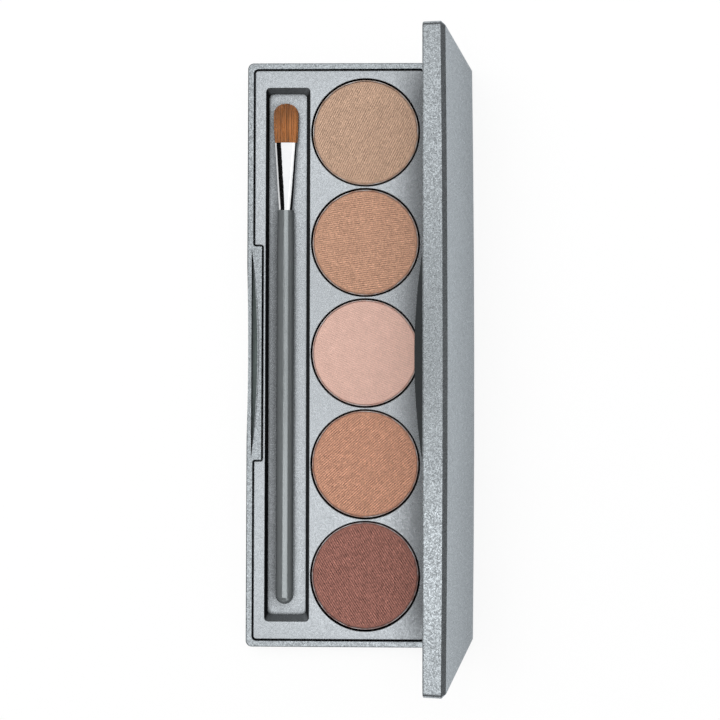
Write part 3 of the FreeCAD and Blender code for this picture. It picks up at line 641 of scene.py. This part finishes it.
def bristle_tuft(count, width):
    """The flat, round-tipped tuft of many tapered strands."""
    low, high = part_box("brush_bristles")
    middle, half = (low + high) / 2, (high - low) / 2
    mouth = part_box("brush_ferrule")[0].x
    length = mouth - low.x - TIP_ROOM
    steps = len(STRAND_TAPER) - 1
    draw = random.Random(TUFT_SEED)
    curve = bpy.data.curves.new("bristles", "CURVE")
    curve.dimensions = "3D"
    curve.bevel_depth = width / 2
    curve.bevel_resolution = 0
    for strand in range(count):
        turn = draw.uniform(0, 2 * math.pi)
        spread = math.sqrt(draw.random()) if strand % SKIN_EVERY else draw.uniform(SKIN_START, 1)
        across, thick = spread * math.cos(turn), spread * math.sin(turn)
        round_off = TIP_ROUND * (1 - math.sqrt(max(0, 1 - across ** 2)))
        reach = length - round_off - draw.uniform(0, TIP_RAGGED_MM) * MM
        drift = draw.uniform(-DRIFT, DRIFT)
        spline = curve.splines.new("POLY")
        spline.points.add(steps)
        for step, point in enumerate(spline.points):
            along = step / steps
            x = mouth + STRAND_ROOT - along * (reach + STRAND_ROOT)
            wide, deep = outline_at((mouth - x) / length)
            side = (across + drift * along) * wide * (half.y - width)
            rise = thick * deep * (half.z - width)
            point.co = (x, middle.y + side, middle.z + rise, 1)
            point.radius = STRAND_TAPER[step]
    strands = bpy.data.objects.new("bristles", curve)
    bpy.context.scene.collection.objects.link(strands)
    select_only(strands)
    bpy.ops.object.convert(target="MESH")
    strands = bpy.context.object
    strands.name = strands.data.name = "bristles"
    bpy.ops.object.shade_smooth()
    return strands


def bristle_hair(colour):
    """Brown hair with streaks along it, in tones from ferrule to tip."""
    hair = Finish("bristle_brown", Roughness=0.45, Sheen_Weight=0.1)
    streak = hair.streaks((15, 4200, 900), detail=3, rough=0.6)
    tip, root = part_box("brush_bristles")[0].x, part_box("brush_ferrule")[0].x
    along = hair.span(hair.axis(hair.place, "X"), 0, 1, root, tip)
    tone = hair.ramp(along, tuple((place, (grey,) * 3) for place, grey in HAIR_TONES))
    brown = hair.tinted(colour, hair.span(streak, 0.45, 1.6, *NOISE))
    hair.colour(hair.mixed(1.0, brown, tone, "MULTIPLY"))
    return hair.material


def satin_lacquer(colour):
    """Grey lacquer with a metallic grain along the handle."""
    lacquer = Finish("handle_grey", Metallic=0.55, Coat_Weight=0.1, Coat_Roughness=0.2)
    grain = lacquer.streaks((300, 6000, 6000))
    lacquer.colour(lacquer.tinted(colour, lacquer.swing(grain, 0.1, *NOISE)))
    lacquer.rough(lacquer.span(grain, 0.16, 0.24, *NOISE))
    return lacquer.material


def worn_chrome():
    """Bright chrome, a little dulled by wear in places."""
    chrome = Finish("ferrule_chrome", Metallic=1.0)
    wear = chrome.noise(scale=400, detail=3, rough=0.6)
    chrome.colour(chrome.clouded(wear, (0.57, 0.58, 0.59), (0.615, 0.62, 0.625)))
    chrome.rough(chrome.span(wear, 0.03, 0.09, *NOISE))
    return chrome.material


class PALETTE_OT_brush(bpy.types.Operator):
    """Finish handle and ferrule of the brush"""
    bl_idname = "palette.brush"
    bl_label = "Brush"

    def execute(self, context):
        dress(satin_lacquer(context.scene.palette_brush.handle_grey), "brush_handle")
        dress(worn_chrome(), "brush_ferrule")
        return {"FINISHED"}


class PALETTE_OT_bristles(bpy.types.Operator):
    """Model the tuft of the brush"""
    bl_idname = "palette.bristles"
    bl_label = "Bristles"

    def execute(self, context):
        looks = context.scene.palette_brush
        tuft = bristle_tuft(looks.strands, looks.strand_width)
        tuft.data.materials.append(bristle_hair(looks.bristle_brown))
        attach(tuft, "brush")
        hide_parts("brush_bristles")
        return {"FINISHED"}


# ---- Stage, in metres ----

FLOOR_SIZE = 6
FLOOR_ROUGHNESS = 0.9
# Share of plain white in the floor as the camera and gloss see it; the rest keeps the object's shadow.
FLOOR_GLOW = 0.85
SOFTBOX_PLACE = (-0.14, -0.12, 0.84)
SOFTBOX_SIDE = 0.55
SENSOR_MM = 36
CAMERA_NEAR = 0.01
WHITE = (1, 1, 1)
COOL_WHITE = (0.95, 1, 1.04)
FLAG_BLACK = (0.01, 0.01, 0.01)
# Black flags: name, width and height, place, and the point that each faces.
FLAGS = (
    ("flag_front", (1.2, 0.5), (0, -0.25, 0.25), (0, 0, 0.25)),
    ("flag_near", (0.044, 0.024), (-0.053, -0.063, 0.1015), (-0.044, -0.017, 0.005)),
    ("flag_end", (0.5, 0.3), (-0.35, -0.15, 0.25), (0, -0.15, 0.25)),
    ("flag_end", (0.5, 0.3), (0.35, -0.15, 0.25), (0, -0.15, 0.25)),
)
# Glowing cards behind the lid, on the floor behind it and overhead: as above, then strength and colour.
CARDS = (
    ("card_rear", (0.4, 0.14), (0, 0.1, 0.07), (0, 0, 0.07), 0.11, WHITE),
    ("card_near", (0.8, 0.008), (0, 0.0337, 0.0005), (0, 0.0337, 1), 0.54, COOL_WHITE),
    ("card_far", (0.8, 0.08), (0, 0.0777, 0.0005), (0, 0.0777, 1), 0.85, COOL_WHITE),
    ("card_mid", (0.2, 0.4), (0.005, -0.36, 1.0), (0.005, -0.36, 0), 0.3, WHITE),
    ("card_low", (0.22, 0.83), (0.22, 0.335, 1.0), (0.22, 0.335, 0), 1.9, WHITE),
    ("card_low_front", (0.22, 0.25), (0.22, -0.33, 1.0), (0.22, -0.33, 0), 2.3, WHITE),
    ("card_high", (0.16, 1.2), (-0.18, 0.05, 1.0), (-0.18, 0.05, 0), 1.55, WHITE),
)
# Clear cards that show in the ferrule only: as above, then strength.
FERRULE_CARDS = (
    ("card_side", (0.05, 0.037), (-0.05, 0.012, 0.0365), (-0.05, 0, 0.0365), 1.5),
    ("card_edge", (0.017, 0.0035), (-0.044, -0.0208, 0.0048), (-0.044, 0, 0.0048), 1.1),
)


def card(name, size, place, aim, material, only=None):
    """A flat studio card that faces a point and shows in reflections only, or only in those of one node."""
    bpy.ops.object.select_all(action="DESELECT")
    bpy.ops.mesh.primitive_plane_add(size=1, location=place)
    piece = bpy.context.object
    piece.name = name
    piece.scale = (*size, 1)
    piece.rotation_euler = (Vector(aim) - Vector(place)).to_track_quat("Z", "Y").to_euler()
    piece.data.materials.append(material)
    piece.visible_camera = piece.visible_diffuse = piece.visible_shadow = False
    if only:
        receivers = bpy.data.collections.new(f"{name}_receivers")
        receivers.objects.link(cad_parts[only])
        piece.light_linking.receiver_collection = receivers


def glowing(name, strength, colour=WHITE, clear=False):
    """A plain material that gives off light, and that hides nothing if it is clear."""
    material = bpy.data.materials.new(name)
    material.use_nodes = True
    tree = material.node_tree
    glow = tree.nodes.new("ShaderNodeEmission")
    glow.inputs["Strength"].default_value = strength
    glow.inputs["Color"].default_value = (*colour, 1)
    surface = glow
    if clear:
        surface = tree.nodes.new("ShaderNodeAddShader")
        tree.links.new(glow.outputs[0], surface.inputs[0])
        tree.links.new(tree.nodes.new("ShaderNodeBsdfTransparent").outputs[0], surface.inputs[1])
    tree.links.new(surface.outputs[0], tree.nodes["Material Output"].inputs["Surface"])
    return material


def seen_rays(tree):
    """1 for rays of camera, gloss and glass, else 0."""
    rays = tree.nodes.new("ShaderNodeLightPath").outputs
    seen = rays["Is Camera Ray"]
    for ray in ("Is Glossy Ray", "Is Transmission Ray"):
        either = tree.nodes.new("ShaderNodeMath")
        either.operation = "MAXIMUM"
        tree.links.new(seen, either.inputs[0])
        tree.links.new(rays[ray], either.inputs[1])
        seen = either.outputs[0]
    return seen


def pale_floor(brightness):
    """A pale floor that takes the object's shadow and is near white to camera and gloss."""
    bpy.ops.object.select_all(action="DESELECT")
    bpy.ops.mesh.primitive_plane_add(size=FLOOR_SIZE)
    floor = bpy.context.object
    floor.name = "floor"
    white = bpy.data.materials.new("floor_white")
    white.use_nodes = True
    tree = white.node_tree
    shader = tree.nodes["Principled BSDF"]
    shader.inputs["Base Color"].default_value = (brightness,) * 3 + (1,)
    shader.inputs["Roughness"].default_value = FLOOR_ROUGHNESS
    glow = tree.nodes.new("ShaderNodeEmission")
    mix = tree.nodes.new("ShaderNodeMixShader")
    share = tree.nodes.new("ShaderNodeMath")
    share.operation = "MULTIPLY"
    share.inputs[1].default_value = FLOOR_GLOW
    tree.links.new(seen_rays(tree), share.inputs[0])
    tree.links.new(share.outputs[0], mix.inputs["Fac"])
    tree.links.new(shader.outputs[0], mix.inputs[1])
    tree.links.new(glow.outputs[0], mix.inputs[2])
    tree.links.new(mix.outputs[0], tree.nodes["Material Output"].inputs["Surface"])
    floor.data.materials.append(white)


def white_room(scene, brightness):
    """Light from all round, which camera and gloss see as plain white."""
    scene.world = bpy.data.worlds.new("studio")
    scene.world.use_nodes = True
    tree = scene.world.node_tree
    background = tree.nodes["Background"]
    level = tree.nodes.new("ShaderNodeMapRange")
    level.inputs["To Min"].default_value = brightness
    level.inputs["To Max"].default_value = 1
    tree.links.new(seen_rays(tree), level.inputs["Value"])
    tree.links.new(level.outputs["Result"], background.inputs["Strength"])
    background.inputs["Color"].default_value = (*WHITE, 1)


def overhead_softbox(power):
    """A square area light that faces the object and shows in no reflection."""
    bpy.ops.object.light_add(type="AREA", location=SOFTBOX_PLACE)
    softbox = bpy.context.object
    softbox.name = "softbox"
    softbox.data.shape = "RECTANGLE"
    softbox.data.size = SOFTBOX_SIDE
    softbox.data.size_y = SOFTBOX_SIDE
    softbox.data.energy = power
    softbox.visible_glossy = False
    softbox.rotation_euler = (-softbox.location).to_track_quat("-Z", "Y").to_euler()


def flags_and_cards():
    """What the glossy surfaces mirror."""
    black = bpy.data.materials.new("flag_black")
    black.use_nodes = True
    matt = black.node_tree.nodes["Principled BSDF"]
    matt.inputs["Base Color"].default_value = (*FLAG_BLACK, 1)
    matt.inputs["Specular IOR Level"].default_value = 0
    for name, size, place, aim in FLAGS:
        card(name, size, place, aim, black)
    for name, size, place, aim, strength, colour in CARDS:
        card(name, size, place, aim, glowing(name, strength, colour))
    for name, size, place, aim, strength in FERRULE_CARDS:
        card(name, size, place, aim, glowing(name, strength, clear=True), "brush_ferrule")


def studio_camera(scene, looks):
    """The camera, placed for the object at rest."""
    bpy.ops.object.camera_add(location=looks.camera_place, rotation=looks.camera_turn)
    camera = bpy.context.object
    camera.name = "camera"
    camera.data.lens = looks.lens
    camera.data.sensor_width = SENSOR_MM
    camera.data.shift_y = looks.camera_rise
    camera.data.clip_start = CAMERA_NEAR
    scene.camera = camera


class PALETTE_OT_stage(bpy.types.Operator):
    """Set up floor, light and camera"""
    bl_idname = "palette.stage"
    bl_label = "Stage"

    def execute(self, context):
        scene = context.scene
        looks = scene.palette_stage
        scene.view_settings.view_transform = "Standard"
        pale_floor(looks.floor_white)
        white_room(scene, looks.room)
        overhead_softbox(looks.softbox)
        flags_and_cards()
        studio_camera(scene, looks)
        return {"FINISHED"}


# ---- Add-on ----

class PALETTE_PT_sidebar(bpy.types.Panel):
    """Steps that finish the palette"""
    bl_label = "Eyeshadow palette"
    bl_space_type = "VIEW_3D"
    bl_region_type = "UI"
    bl_category = "Palette"

    def draw(self, context):
        for operator in OPERATORS:
            self.layout.operator(operator.bl_idname)


GROUPS = {
    "palette_case": CaseLooks,
    "palette_powder": PowderLooks,
    "palette_brush": BrushLooks,
    "palette_stage": StageLooks,
}
OPERATORS = (
    PALETTE_OT_case, PALETTE_OT_fittings, PALETTE_OT_powders, PALETTE_OT_brush, PALETTE_OT_bristles,
    PALETTE_OT_stage)


def register():
    """Make the properties, operators and panel known."""
    for name, group in GROUPS.items():
        bpy.utils.register_class(group)
        setattr(bpy.types.Scene, name, PointerProperty(type=group))
    for item in (*OPERATORS, PALETTE_PT_sidebar):
        bpy.utils.register_class(item)


def unregister():
    """Take them away again."""
    for item in (PALETTE_PT_sidebar, *reversed(OPERATORS)):
        bpy.utils.unregister_class(item)
    for name, group in GROUPS.items():
        delattr(bpy.types.Scene, name)
        bpy.utils.unregister_class(group)


def main():
    """Run every step in order."""
    register()
    for operator in OPERATORS:
        group, name = operator.bl_idname.split(".")
        getattr(getattr(bpy.ops, group), name)()


if __name__ == "__main__":
    main()
